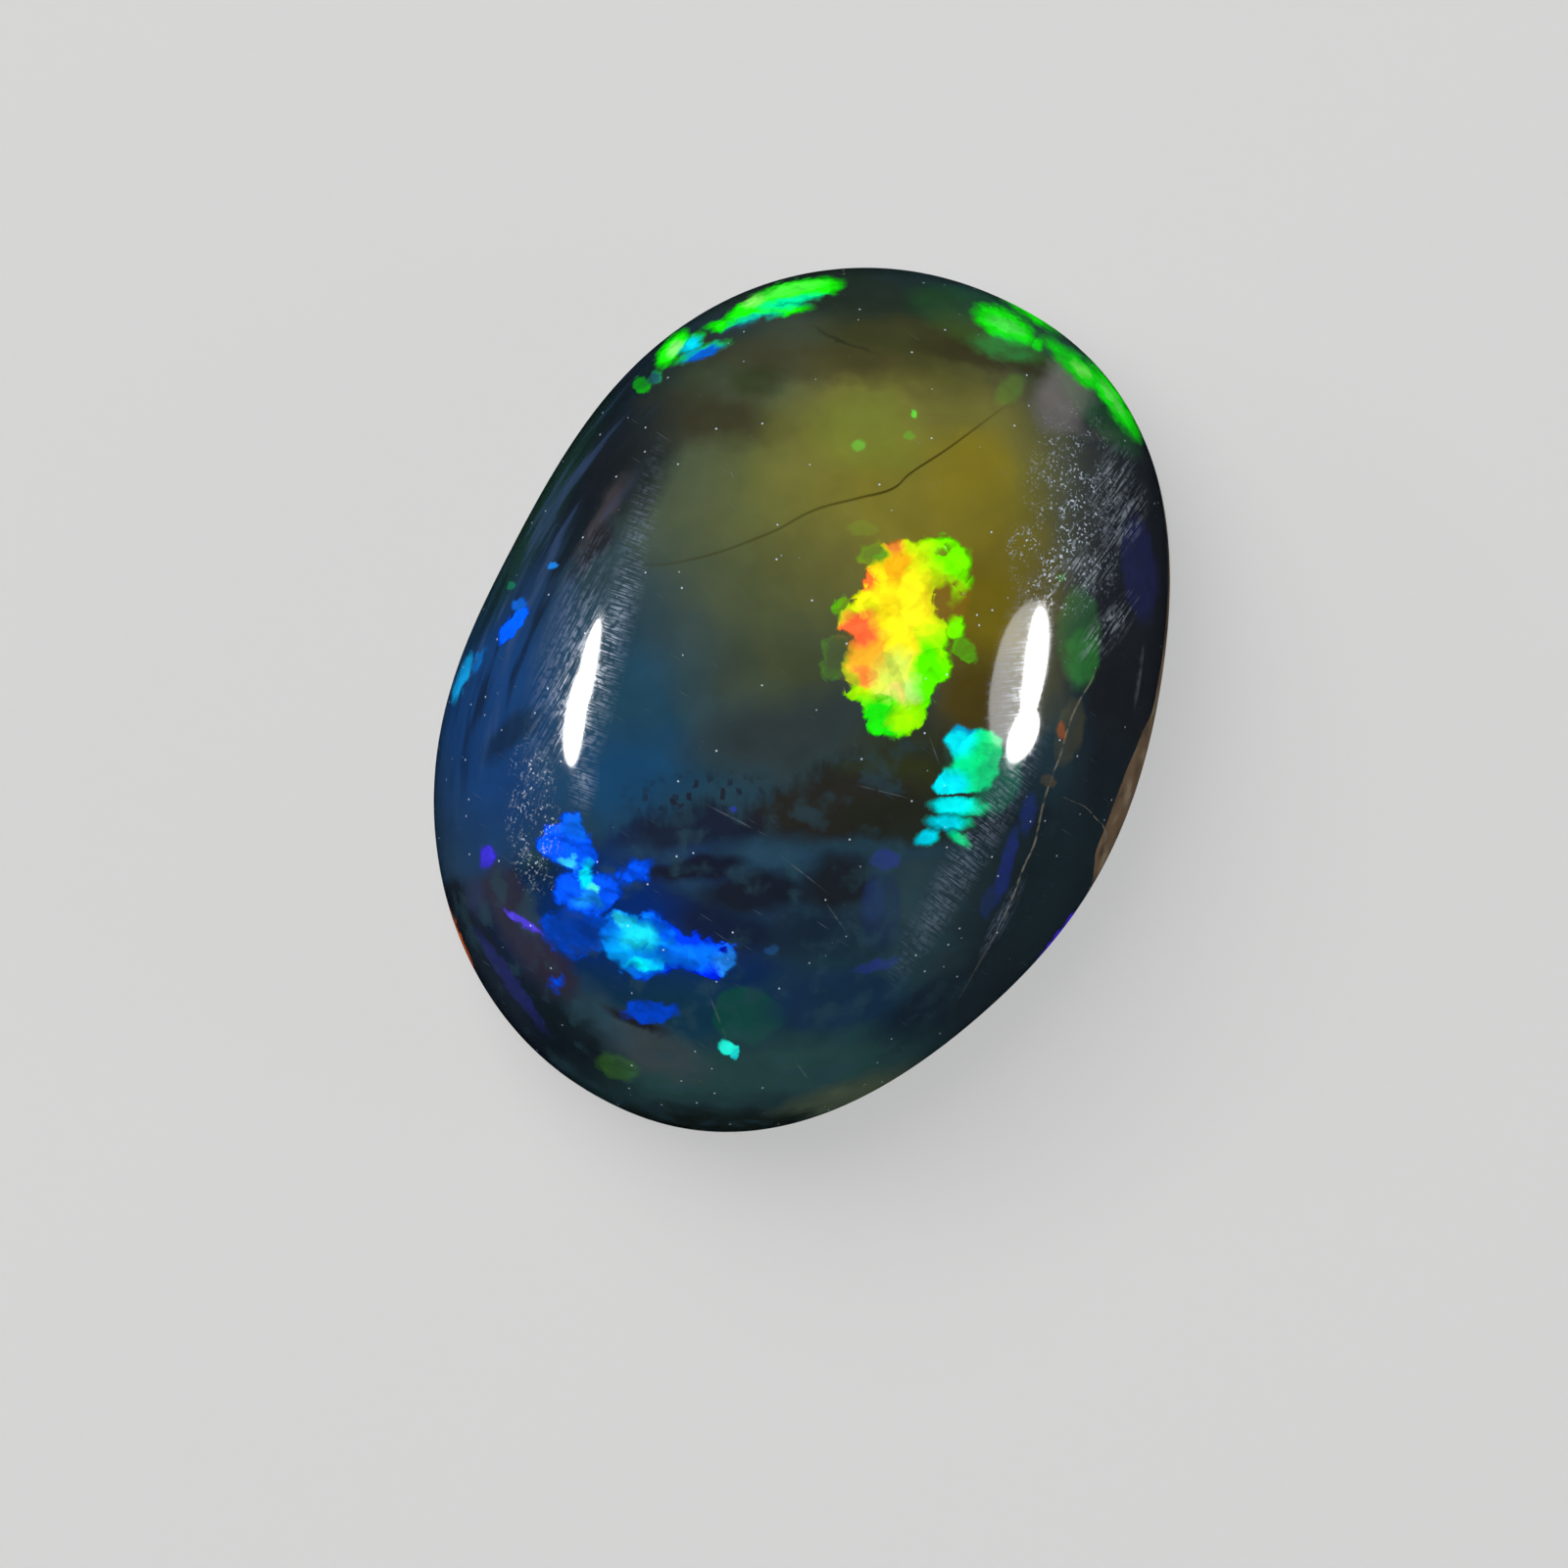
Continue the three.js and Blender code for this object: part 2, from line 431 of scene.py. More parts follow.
# Painted shade over both: the right and lower-right walls darkened where the light falls off
sideWallShade = {
    "rightWallShade": (5.04, -0.1, 0.95, 5.05, 0, (38, 42, 48), 0.35, 1),
    "lowerRightWallShade": (3.67, -3.32, 1.38, 2.3, -30, (36, 50, 56), 0.5, 1),
}

body = {
    "upperColour": (44, 66, 76),
    "lowerColour": (28, 36, 48),
    "cloudDepth": 7.0,     # mm that a cloud reaches along the view
    "mottle": 0.27,        # how much the colour is uneven
    "wisps": 0.45,         # how strong the thin veils below the border are
    "wispColour": (50, 82, 94),
    "borderLeft": -5.8,    # the ragged border in mm from the middle, and its height at even steps
    "borderRight": 5.8,
    "borderDrop": 4.0,     # mm below the middle that the border may reach
    "border": [-2.86, -2.55, -2.25, -1.98, -1.66, -1.58, -1.14, -0.82, -0.70, -1.20, -1.79, -2.09, -2.09],
    "columns": (0.42, 0.14),   # mm long and wide, which the border is broken into
    "columnReach": 0.5,        # mm
    "patchReach": 0.7,         # mm that broader patches move the border
    "islands": (-1.72, -1.46, 0.95, 0.27, 4),   # where dark flakes stand in the border
    "islandColour": (36, 35, 46),
    "flakesPerMm": (9.0, 7.0, 1.0),
}

# Flashes of pure colour, which also shine by themselves as painted glow. Each group has one colour, torn or
# fine edges, dimmer streaks (their degrees and strength), oval patches or outlines that give its shape, and
# tints that change the colour inside it. An outline is the reach in mm in equal steps round from the right.
# After a patch's turn comes how bright it is.
sunFlash = {
    "colour": (111.91, 240, 0), "edges": "torn", "streaks": (35, 0.15),
    "outlines": {
        "main": (1.36, 0.89, 1.0, [0.81, 0.8, 0.86, 1.5, 1.57, 1.26, 0.93, 0.92,
                                   0.74, 0.92, 1.04, 1.27, 1.49, 1.23, 0.95, 0.87]),
    },
    "patches": {
        "hook": (2.0, 2.15, 0.47, 0.37, 0, 1),
        "hookStrip": (2.38, 1.89, 0.09, 0.34, -10, 0.8),
        "sideChip": (2.29, 1.11, 0.2, 0.15, -10, 0.9),
        "sideDim": (2.44, 0.78, 0.18, 0.2, 0, 0.6),
        "topLobe": (0.96, 2.24, 0.17, 0.15, 0, 0.5),
        "leftLobe": (0.39, 0.69, 0.21, 0.31, 0, 0.35),
        "leftSpot": (0.54, 1.44, 0.12, 0.11, 0, 0.4),
    },
    "tints": {
        "yellow": (1.31, 1.24, 0.67, 1.26, -5, (234, 216, 20)),
        "gold": (1.2, 1.89, 0.37, 0.52, 0, (244, 212, 20)),
        "orangeTop": (1.36, 2.12, 0.18, 0.31, 0, (232, 168, 20)),
        "redPeak": (1.31, 2.45, 0.17, 0.18, 0, (214, 124, 44)),
        "redSpot": (0.88, 1.86, 0.14, 0.14, 0, (242, 108, 40)),
        "lemonLeft": (0.88, 1.5, 0.18, 0.21, 0, (238, 236, 20)),
        "orangeSide": (0.91, 0.69, 0.4, 0.4, -10, (238, 170, 40)),
        "redSide": (0.76, 1.08, 0.31, 0.25, 20, (246, 100, 52)),
        "redLow": (0.88, 0.36, 0.21, 0.12, 0, (232, 128, 50)),
        "lemon": (1.59, 1.12, 0.28, 0.77, -8, (240, 232, 26)),
        "paleLime": (1.36, 0.36, 0.34, 0.37, 0, (206, 226, 80)),
        "mint": (1.71, 0.17, 0.21, 0.21, 0, (176, 232, 110)),
        "peach": (1.31, 0.08, 0.21, 0.14, 0, (234, 218, 108)),
        "pureGreen": (1.1, -0.33, 0.37, 0.4, 0, (28, 222, 14)),
        "greenRim": (1.89, 0.36, 0.21, 0.7, 8, (84, 246, 0)),
        "limeLow": (1.51, -0.35, 0.25, 0.2, 0, (150, 236, 4)),
        "oliveTip": (0.54, 0.29, 0.18, 0.15, 20, (150, 160, 30)),
        "leftOlive": (0.39, 0.72, 0.25, 0.34, 0, (74, 110, 34)),
        "lobeGreen": (0.96, 2.25, 0.18, 0.17, 0, (84, 152, 24)),
        "sideGreen": (2.5, 0.78, 0.25, 0.25, 0, (84, 178, 22)),
        "hookShade": (2.08, 2.3, 0.12, 0.08, 0, (96, 140, 20)),
    },
}
seaFlash = {
    "colour": (4, 226, 140), "edges": "fine", "streaks": (4, 0.12),
    "outlines": {
        "main": (2.47, -0.95, 1.0, [0.49, 0.58, 0.61, 0.52, 0.51, 0.58, 0.52, 0.41,
                                    0.37, 0.43, 0.69, 0.55, 0.51, 0.49, 0.52, 0.51]),
    },
    "patches": {
        "rowTwo": (2.33, -1.64, 0.4, 0.14, -2, 1),
        "rowThree": (2.18, -1.9, 0.31, 0.11, -3, 1),
        "tip": (1.84, -2.13, 0.18, 0.11, 20, 1),
        "spur": (2.33, -2.13, 0.14, 0.06, -35, 0.8),
    },
    "tints": {
        "cyanTop": (2.23, -0.59, 0.37, 0.28, 0, (4, 230, 240)),
        "cyanLow": (2.13, -1.3, 0.34, 0.21, 0, (4, 232, 246)),
        "greenSide": (2.79, -0.95, 0.25, 0.52, 0, (10, 214, 120)),
        "tealCorner": (2.36, -0.41, 0.25, 0.11, -10, (10, 150, 190)),
        "cyanRowTwo": (2.18, -1.62, 0.4, 0.18, 0, (4, 236, 238)),
        "cyanRowThree": (2.06, -1.91, 0.37, 0.15, 0, (2, 214, 232)),
        "cyanTip": (1.81, -2.14, 0.25, 0.14, 20, (2, 214, 238)),
        "seaNotch": (2.12, -0.89, 0.11, 0.2, 10, (22, 62, 50)),
        "seaSplit": (2.38, -1.48, 0.52, 0.03, 0, (30, 70, 60)),
    },
}
blueFlash = {
    "colour": (6, 84, 246), "edges": "torn", "streaks": (-20, 0.45),
    "outlines": {
        "upper": (-3.76, -2.25, 1.0, [0.43, 0.41, 0.37, 0.47, 0.47, 0.38, 0.41, 0.46,
                                      0.47, 0.41, 0.37, 0.34, 0.40, 0.46, 0.54, 0.52]),
        "lower": (-2.28, -3.81, 1.0, [1.19, 0.58, 0.38, 0.35, 0.41, 0.58, 0.67, 1.0,
                                      0.92, 0.77, 0.67, 0.64, 0.43, 0.44, 0.58, 1.12]),
    },
    "patches": {
        "middle": (-3.42, -2.98, 0.51, 0.34, 0, 1),
        "spur": (-2.69, -2.69, 0.28, 0.15, 30, 1),
        "dimSide": (-3.61, -3.6, 0.52, 0.37, 0, 0.6),
        "streaks": (-2.46, -4.84, 0.37, 0.15, 0, 0.45),
        "tail": (-3.96, -3.47, 0.18, 0.18, 0, 0.6),
        "spot": (-3.93, -4.41, 0.11, 0.11, 0, 0.9),
    },
    "tints": {
        "upperPale": (-3.61, -1.97, 0.25, 0.18, 20, (12, 104, 240)),
        "hotUpper": (-3.73, -2.49, 0.12, 0.11, 0, (50, 190, 236)),
        "block": (-3.47, -2.75, 0.12, 0.21, -8, (4, 214, 244)),
        "blockMint": (-3.36, -2.95, 0.12, 0.09, 0, (70, 238, 220)),
        "underBlock": (-3.42, -3.12, 0.23, 0.11, 0, (20, 132, 236)),
        "royalLow": (-1.62, -4.21, 0.83, 0.18, 0, (0, 36, 226)),
        "royalShelf": (-1.97, -3.55, 0.64, 0.21, -12, (2, 58, 236)),
        "cyanField": (-2.74, -3.78, 0.55, 0.43, -10, (4, 158, 244)),
        "hot": (-2.61, -3.63, 0.31, 0.21, -15, (24, 216, 244)),
        "hotLow": (-2.43, -4.07, 0.37, 0.09, 8, (4, 234, 250)),
        "hotSide": (-2.92, -3.44, 0.14, 0.09, 0, (40, 206, 240)),
        "hotStroke": (-2.52, -3.15, 0.14, 0.03, 0, (40, 224, 246)),
        "paleTail": (-1.85, -3.96, 0.61, 0.2, 0, (6, 112, 244)),
        "tipPale": (-1.25, -4.06, 0.17, 0.23, 0, (36, 136, 246)),
        "tipHole": (-1.31, -3.87, 0.09, 0.06, 0, (0, 12, 180)),
        "dimBlue": (-3.61, -3.63, 0.52, 0.37, 0, (6, 68, 190)),
    },
}
rimGreenFlash = {
    "colour": (26, 255, 16), "edges": "fine", "streaks": (25, 0.05),
    "outlines": {},
    "patches": {
        "top": (-0.19, 6.37, 0.67, 0.18, 11, 1),
        "topLow": (-0.85, 6.1, 0.43, 0.18, 26, 1),
        "topShelf": (-0.47, 6.08, 0.4, 0.09, 6, 0.9),
        "topTail": (-1.28, 5.85, 0.26, 0.08, 6, 0.75),
        "left": (-2.12, 5.49, 0.32, 0.14, 52, 1),
        "leftCyan": (-1.82, 5.56, 0.2, 0.09, 38, 1),
        "leftTail": (-1.66, 5.42, 0.34, 0.08, 22, 0.8),
        "leftLow": (-2.58, 4.92, 0.12, 0.1, 0, 0.3),
        "leftLowTwo": (-2.38, 5.04, 0.08, 0.09, 0, 0.5),
        "right": (3.05, 5.86, 0.52, 0.24, -27, 1),
        "rightLow": (3.57, 5.55, 0.09, 0.09, 0, 0.8),
        "rightThin": (3.48, 6.02, 0.37, 0.07, -33, 1),
        "rim": (4.14, 5.24, 0.58, 0.16, -42, 1),
        "rimLow": (4.74, 4.7, 0.66, 0.15, -56, 1),
    },
    "tints": {
        "topPale": (-0.85, 6.24, 0.18, 0.09, 20, (120, 236, 90)),
        "topPaleTwo": (-0.27, 6.42, 0.49, 0.09, 11, (70, 240, 60)),
        "topCyan": (-0.19, 6.21, 0.52, 0.09, 8, (4, 232, 150)),
        "topShelfCyan": (-0.81, 5.93, 0.37, 0.09, 12, (8, 190, 160)),
        "topTailBlue": (-1.16, 5.75, 0.37, 0.08, 20, (10, 110, 150)),
        "leftPale": (-2.09, 5.49, 0.15, 0.08, 50, (130, 242, 110)),
        "leftCyan": (-1.83, 5.53, 0.2, 0.11, 38, (4, 216, 244)),
        "leftBlue": (-1.63, 5.38, 0.37, 0.12, 22, (10, 100, 215)),
        "leftLowTeal": (-2.4, 5.03, 0.12, 0.12, 0, (30, 140, 150)),
        "rightPale": (3.08, 5.85, 0.28, 0.09, -22, (84, 255, 84)),
        "rimPale": (4.25, 5.16, 0.18, 0.08, -43, (120, 255, 90)),
        "rimPaleLow": (4.74, 4.72, 0.31, 0.06, -57, (96, 255, 84)),
    },
}
flashes = [sunFlash, seaFlash, blueFlash, rimGreenFlash]

# Small flashes that stand alone, which also shine by themselves as painted glow, each with its own colour;
# how bright, and its softness
sparks = {
    "greenHaloRight": (2.9, 5.86, 1.07, 0.36, -20, (10, 96, 22), 0.42, 0.5),
    "greenHaloRim": (4.45, 4.75, 0.86, 0.28, -53, (10, 96, 26), 0.45, 0.5),
    "greenGrit": (3.05, 5.48, 0.36, 0.13, -12, (40, 150, 70), 0.5, 0.9),
    "cyanChip": (-1.25, -5.4, 0.17, 0.1, -25, (34, 228, 205), 0.9, 0.2),
    "cyanSliver": (-1.14, -5.5, 0.05, 0.08, -20, (20, 190, 190), 0.8, 0.3),
    "blueLeft": (-4.59, 1.17, 0.35, 0.12, 52, (4, 90, 245), 1, 0.15),
    "blueLeftTop": (-4.5, 1.5, 0.12, 0.08, 40, (20, 96, 200), 0.7, 0.3),
    "blueDot": (-3.96, 2.09, 0.08, 0.05, 0, (30, 120, 210), 0.9, 0.3),
    "cyanRim": (-5.4, 0.36, 0.37, 0.08, 70, (20, 150, 215), 0.8, 0.3),
    "cyanRimSide": (-5.14, 0.63, 0.2, 0.06, 62, (14, 110, 190), 0.7, 0.4),
    "greenDot": (-4.62, 1.79, 0.06, 0.06, 0, (16, 140, 90), 0.7, 0.4),
    "violetLeft": (-5.0, -2.43, 0.12, 0.18, -10, (62, 52, 215), 0.8, 0.3),
    "violetLine": (-4.45, -3.43, 0.31, 0.05, -32, (86, 70, 225), 0.8, 0.4),
    "violetStreak": (-4.63, -4.39, 0.7, 0.08, -55, (40, 38, 130), 0.45, 0.6),
    "violetEdge": (4.02, -3.63, 0.48, 0.035, 50, (66, 36, 200), 0.75, 0.5),
    "violetRight": (5.15, 2.05, 0.2, 0.58, 6, (36, 36, 112), 0.35, 0.6),
    "blueSmall": (1.19, -2.47, 0.18, 0.11, 0, (40, 40, 160), 0.4, 0.6),
    "blueRightTop": (3.41, -1.76, 0.09, 0.25, -10, (28, 42, 130), 0.5, 0.6),
    "blueRight": (3.08, -2.55, 0.08, 0.46, -14, (28, 40, 140), 0.5, 0.6),
    "blueRightLow": (2.79, -3.14, 0.08, 0.18, -14, (28, 40, 120), 0.4, 0.6),
    "blueTiny": (-1.17, -1.7, 0.05, 0.05, 0, (50, 60, 190), 0.6, 0.4),
    "blueSeed": (-0.58, -3.87, 0.09, 0.05, 0, (30, 90, 160), 0.5, 0.6),
    "blueVeil": (1.0, -3.1, 0.11, 0.2, 0, (24, 40, 120), 0.25, 0.8),
    "violetShelf": (1.05, -4.12, 0.25, 0.06, 14, (40, 38, 150), 0.5, 0.8),
    "orangeEdge": (-5.43, -3.73, 0.55, 0.03, -67, (190, 90, 30), 0.7, 0.5),
    "dimGreen": (4.2, 0.97, 0.27, 0.62, 0, (60, 140, 56), 0.35, 0.4),
    "dimGreenCore": (4.25, 0.68, 0.2, 0.3, 0, (46, 146, 46), 0.3, 0.5),
    "greenSmall": (3.9, 1.89, 0.06, 0.06, 0, (60, 150, 60), 0.6, 0.4),
    "redSpeck": (3.93, -0.47, 0.05, 0.11, 0, (200, 90, 30), 0.5, 0.5),
    "amberSide": (4.05, -0.49, 0.15, 0.37, -12, (96, 84, 30), 0.35, 0.6),
    "amberDot": (3.73, -1.25, 0.07, 0.06, 0, (120, 92, 40), 0.3, 0.8),
    "topDim": (3.13, 4.83, 0.23, 0.14, 45, (74, 132, 30), 0.5, 0.5),
    "chipA": (1.64, 4.44, 0.05, 0.08, 30, (100, 200, 60), 0.8, 0.3),
    "chipB": (1.57, 4.11, 0.08, 0.05, 0, (90, 170, 50), 0.6, 0.4),
    "chipC": (0.77, 3.95, 0.09, 0.08, 0, (110, 185, 60), 0.6, 0.4),
    "chipD": (0.83, 2.65, 0.18, 0.09, 0, (100, 150, 30), 0.35, 0.5),
    "seaVeil": (2.93, -1.25, 0.25, 0.4, -20, (30, 150, 110), 0.35, 0.6),
    "limeFaint": (-2.97, -5.7, 0.25, 0.14, -20, (72, 132, 16), 0.38, 0.6),
    "orangeGlow": (2.13, 1.58, 0.25, 0.25, 0, (170, 104, 24), 0.35, 0.7),
}

play = {
    "flashDepth": 2.4,    # mm that a flash reaches along the view
    "edge": 0.05,         # mm over which a flash's edge fades
    "tintSoftness": 0.35,
    "streaks": (0.6, 0.2),  # mm long and wide
    "least": 0.66,        # the darkest part of a flash, and what chips and folds add to it
    "chips": 0.18,
    "folds": 0.24,
    "foldSize": 0.31,     # mm
    "glow": 0.62,         # how much of a flash's colour shines by itself
}


# A node group with named inputs; build makes its one result
def makeGroup(name, inputs, output, build):
    group = bpy.data.node_groups.new(name, "ShaderNodeTree")
    for label, kind in inputs.items():
        group.interface.new_socket(label, in_out="INPUT", socket_type="NodeSocket" + kind)
    group.interface.new_socket("Result", in_out="OUTPUT", socket_type="NodeSocket" + output)
    entry = group.nodes.new("NodeGroupInput")
    result = build({label: Wire(group, entry.outputs[label]) for label in inputs})
    leaving = group.nodes.new("NodeGroupOutput")
    group.links.new(result.socket, leaving.inputs[0])
    return group


# The share of an oval at a place: it fades along a straight slope, up to the oval's strength if it has one.
# There is no Map Range in it, because each keeps its result to the end, and Cycles has room for about 250.
def ovalShare(sockets):
    place = sockets["Place"]
    local = place.vector("MULTIPLY_ADD", sockets["Size"], sockets["Shift"])
    if "Axis" in sockets:
        along = local.vector("PROJECT", sockets["Axis"])
        local = along.vector("MULTIPLY_ADD", sockets["Stretch"], local)
    reach = local.vector("LENGTH", output=1)
    share = sockets["Start"] - reach
    if "Strength" in sockets:
        share = share.maths("MINIMUM", sockets["Strength"])
    return share


# A colour that is laid over in an oval
def cloudForm(sockets):
    return layOver(sockets["Under"], sockets["Colour"], ovalShare(sockets))


# A mask to which an oval is added
def patchForm(sockets):
    return sockets["Mask"].maths("MAXIMUM", ovalShare(sockets))


ovalInputs = {"Place": "Vector", "Size": "Vector", "Shift": "Vector", "Start": "Float"}
turnInputs = {"Axis": "Vector", "Stretch": "Vector"}
strengthInputs = {"Strength": "Float"}
cloudInputs = {"Under": "Color", "Colour": "Color"}
ovalGroups = {}
for form, build, result, more in (("cloud", cloudForm, "Color", cloudInputs),
                                  ("patch", patchForm, "Float", {"Mask": "Float"})):
    for turned, turns in (("", {}), ("turned ", turnInputs)):
        for weaker, strengths in (("", {}), ("weaker ", strengthInputs)):
            name = weaker + turned + form
            inputs = {**ovalInputs, **turns, **strengths, **more}
            ovalGroups[name] = makeGroup(name, inputs, result, build)


# One oval as a node: it fades from 1 + soft to 1 - soft of its size
def layOval(kind, place, oval, depth, soft, strength, values):
    right, up, wide, tall, turn = oval[:5]
    fade = 1 + soft - max(1 - soft, 0)
    size = Vector((1 / wide, 1 / tall, 1 / depth)) / fade
    if turn:
        kind = "turned " + kind
        size.y = size.x
        way = math.radians(turn)
        values["Axis"] = (-math.sin(way), math.cos(way), 0)
        values["Stretch"] = (wide / tall - 1,) * 3
    if strength < 1:
        kind = "weaker " + kind
        values["Strength"] = strength
    shift = -Vector(inView(right, up)) * size
    values.update({"Place": place, "Size": size, "Shift": shift, "Start": (1 + soft) / fade})
    return place.node("ShaderNodeGroup", {"node_tree": ovalGroups[kind]}, values)


def layCloud(under, place, oval, colour, depth, soft, strength=1.0):
    return layOval("cloud", place, oval, depth, soft, strength, {"Under": under, "Colour": tone(*colour)})


def addPatch(mask, place, oval, depth, soft, strength=1.0):
    return layOval("patch", place, oval, depth, soft, strength, {"Mask": mask})


def layClouds(under, place, clouds):
    for cloud in clouds.values():
        colour, soft, strength = cloud[5:]
        under = layCloud(under, place, cloud, colour, body["cloudDepth"], soft, strength)
    return under


# Where a place is in any of the zones, from 0 to 1
def zoneMask(place, zones, soft=0.5):
    mask = 0.0
    for zone in zones:
        mask = addPatch(mask, place, zone, body["cloudDepth"], soft)
    return mask.maths("MINIMUM", 1)


# Adds an outline that is given by its reach in equal steps round
def addOutline(mask, place, right, up, outline, bright):
    middle = inView(right, up)
    acrossFlash = place.vector("DOT_PRODUCT", (1, 0, 0), output=1) - middle[0]
    alongFlash = place.vector("DOT_PRODUCT", (0, 1, 0), output=1) - middle[1]
    bearing = alongFlash.maths("ARCTAN2", acrossFlash)
    turn = (bearing / math.tau + 1).maths("FRACT")
    farthest = max(outline) * 1.05
    points = [(i / len(outline), far / farthest) for i, far in enumerate(outline + outline[:1])]
    shrink = Vector((1, 1, 1 / play["flashDepth"]))
    local = place.vector("MULTIPLY_ADD", shrink, -Vector(middle) * shrink)
    over = local.vector("LENGTH", output=1) - turn.curve(points) * farthest
    return mask.maths("MAXIMUM", over.between(play["edge"], -play["edge"], bright))


# The mask and the colour of one group of flashes
def growFlash(group, place):
    mask = 0.0
    for patch in group["patches"].values():
        soft = play["edge"] / min(patch[2:4])
        mask = addPatch(mask, place, patch, play["flashDepth"], soft, patch[5])
    for right, up, bright, outline in group["outlines"].values():
        mask = addOutline(mask, place, right, up, outline, bright)
    mask = mask.maths("MINIMUM", 1)
    colour = tone(*group["colour"])
    for tint in group["tints"].values():
        colour = layCloud(colour, place, tint, tint[5], play["flashDepth"], play["tintSoftness"])
    return mask, colour


# The hairline crack runs to the right, and the pale fracture runs down. Points are mm from the middle
# along the line and across it, then how strong it is there.
crack = {
    "line": [(-2.70, 2.08, 0.0), (-2.00, 2.14, 0.4), (-0.62, 2.58, 0.6), (0.14, 2.96, 0.7), (0.78, 3.13, 0.8),
             (1.29, 3.27, 1.0), (1.56, 3.50, 1.0), (2.13, 3.88, 0.9), (2.75, 4.34, 0.5), (3.36, 4.80, 0.0)],
    "width": 0.034, "colour": (58, 50, 12), "strength": 0.85,
}
fracture = {
    "line": [(-0.50, 4.46, 0.0), (-0.37, 4.42, 0.6), (0.04, 4.19, 0.8), (0.36, 4.05, 0.7), (0.85, 3.91, 0.8),
             (1.21, 3.77, 0.9), (1.59, 3.65, 0.8), (2.25, 3.50, 1.0), (2.55, 3.36, 1.0), (3.17, 3.13, 0.9),
             (3.63, 2.90, 0.5), (5.00, 2.13, 0.0)],
    "width": 0.026, "colour": (128, 122, 108), "strength": 0.9,
}
branch = {
    "line": [(1.50, 3.95, 0.0), (1.57, 4.11, 0.7), (1.67, 4.32, 0.8), (1.84, 4.48, 1.0), (1.97, 4.60, 1.0),
             (2.40, 4.62, 0.0)],
    "width": 0.022, "colour": (128, 122, 108), "strength": 0.8,
}

# The tan host rock in the edge: degrees round from +X, and mm above the back where it ends
hostRock = {
    "edge": [(-12, 0.0), (-9, 0.87), (-6, 1.21), (-3, 1.68), (0, 1.97), (4, 2.01), (9, 2.07),
             (15, 2.05), (20, 1.85), (26, 1.50), (32, 1.42), (38, 1.40), (44, 1.36), (50, 1.32),
             (56, 1.28), (61, 0.0)],
    "raggedness": 0.25,    # mm
    "lumpSize": 0.45,      # mm
    "showsFrom": (0.1, 0.62),   # mm of height over which it fades in along the edge
    "colour": (128, 104, 78),
    "darkColour": (88, 74, 58),
    "paleColour": (156, 138, 110),
    "roughness": 0.3,
}

# Streaks that run along the left rim: where they lie, and their colours
rimStreaks = {
    "zone": (-4.35, 1.6, 0.62, 3.3, -25),
    "paleColour": (62, 84, 124),
    "paleShare": 0.65,
    "darkColour": (22, 28, 34),
    "darkShare": 0.7,
    "greenZone": (-4.28, 2.75, 0.24, 2.0, -29),
    "greenColour": (32, 62, 50),
    "greenShare": 0.8,
    "layersPerMm": (0.5, 0.5, 3.4),
}

# Hair scratches, each a very thin oval
scratches = {
    "lowMiddle": (-1.13, -1.85, 0.38, 0.012, -27),
    "low": (-1.43, -4.85, 0.32, 0.010, -68),
    "underSun": (1.15, -1.42, 0.31, 0.010, -14),
    "lowSlant": (0.45, -3.4, 0.21, 0.013, -55),
    "longFaint": (-0.09, -2.68, 0.34, 0.009, -38),
    "bottom": (-0.09, -5.77, 0.14, 0.013, -55),
    "upper": (-1.22, 3.57, 0.12, 0.012, -65),
    "bySea": (1.95, -0.79, 0.18, 0.009, -70),
    "rightLoop": (5.15, 0.36, 0.030, 0.4, -8),
}

# Where the polish is worn: fields of pits and hatched strokes, painted pale as glints, and brushed fields by
# the highlights, painted silver as the highlights' sheen
wear = {
    "pits": {
        "left": (-4.27, -1.85, 0.3, 0.86, 4),
        "leftTop": (-4.3, -1.12, 0.06, 0.36, 0),
        "right": (4.1, 3.11, 0.52, 1.05, 0),
        "rightLow": (3.98, 2.05, 0.6, 0.52, 30),
        "rightInner": (3.35, 2.42, 0.22, 0.22, 0),
    },
    "hatching": {
        "upper": (4.72, 3.35, 0.26, 0.5, -18),
        "dense": (4.87, 2.82, 0.27, 0.5, -25),
        "middle": (4.66, 1.12, 0.2, 0.52, -38),
        "inner": (4.25, 2.02, 0.4, 0.3, 0),
    },
    # Strokes of the buffing wheel, painted silver as the highlights' scattered sheen: their degrees, their
    # strength, and where they lie
    "brushingAndSheen": [
        (61, 0.85, [(-3.72, 0.58, 0.27, 1.20, -14), (3.02, -3.35, 0.07, 0.40, -28)]),
        (-20, 0.80, [(-2.98, 1.12, 0.16, 1.60, -13), (-3.49, -1.25, 0.14, 0.30, 0)]),
        (7, 0.80, [(3.28, 0.43, 0.26, 0.90, -12)]),
        (-36, 0.85, [(2.50, -2.38, 0.18, 1.30, -31)]),
    ],
    "brushStrokes": (0.38, 0.024),   # mm long and wide
    "hatchStrokes": (0.36, 0.028),
    "nickStrokes": (0.2, 0.03),
    "hairStrokes": (0.45, 0.02),
    "pitSize": 0.052,                # mm
    "colours": {                     # and how much each covers
        # the brushed silver is painted highlight sheen
        "brushedAndSheen": ((160, 176, 206), 0.55),
        # the hatched and speck colours are painted glints, and the specks also hold real dust
        "hatchedAndGlinting": ((146, 156, 166), 0.75),
        "scratched": ((122, 132, 138), 1.0),
        "pitGlintsAndDust": ((204, 218, 236), 0.95),
    },
    "scratchShare": 0.38,
    "hairShare": 0.35,
}

polish = {
    "roughness": 0.05,
    "brushedRoughness": 0.24,
    "markRoughness": 0.3,
    "refraction": 1.45,
    "dustPerMm": 3.9,
    "dustShare": 0.5,
    "dustRadius": 0.022,    # mm
}

